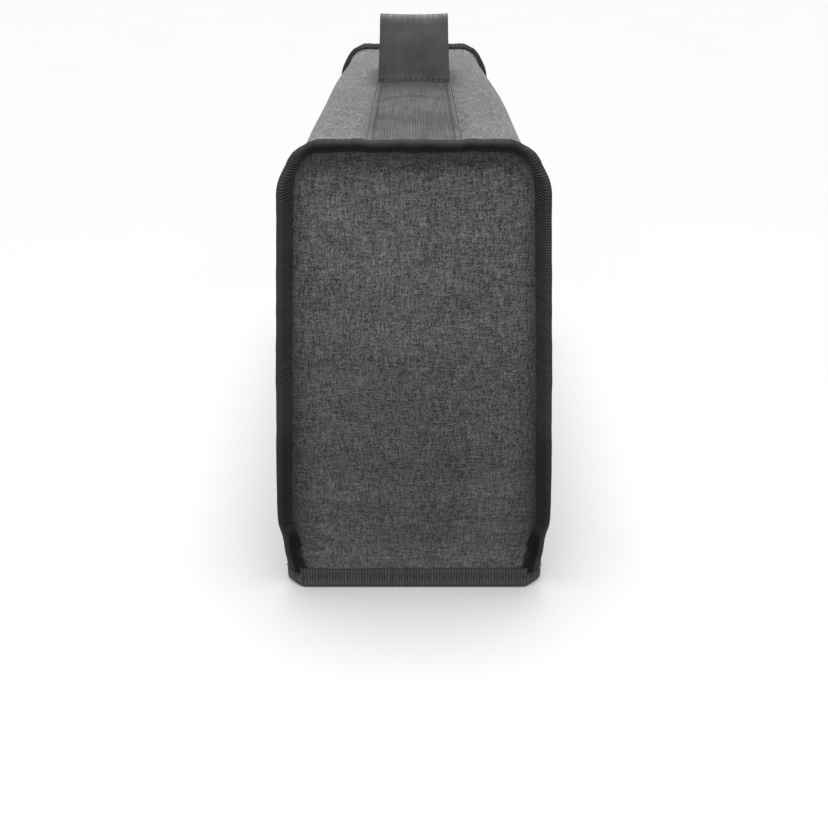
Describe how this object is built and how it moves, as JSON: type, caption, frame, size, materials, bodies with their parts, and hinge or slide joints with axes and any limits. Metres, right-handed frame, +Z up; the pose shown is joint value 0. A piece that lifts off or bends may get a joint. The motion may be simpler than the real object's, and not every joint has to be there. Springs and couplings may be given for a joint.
{
  "type": "toaster cover",
  "caption": "Fitted woven cloth cover for a long narrow toaster, with bound end seams, a bound hem and a webbing carrying loop on top.",
  "frame": {"origin": "middle of the footprint, on the surface the hem rests on", "axes": "+Z up, +Y along the length with the front end panel facing -Y, +X across the width"},
  "size_m": [0.1436, 0.4228, 0.2799],
  "materials": {
    "wrap_cloth": "matt heather-grey plain weave",
    "front_cloth": "matt heather-grey plain weave",
    "rear_cloth": "matt heather-grey plain weave",
    "front_tape": "black ribbed binding tape",
    "rear_tape": "black ribbed binding tape",
    "hem_tape": "charcoal ribbed binding tape",
    "webbing": "charcoal webbing with fine lengthwise ribs"
  },
  "bodies": {
    "root": {"wrap": "wrap_cloth", "front_panel": "front_cloth", "rear_panel": "rear_cloth", "front_binding": "front_tape", "rear_binding": "rear_tape", "hem_binding": "hem_tape", "handle_webbing": "webbing"}
  },
  "joints": []
}
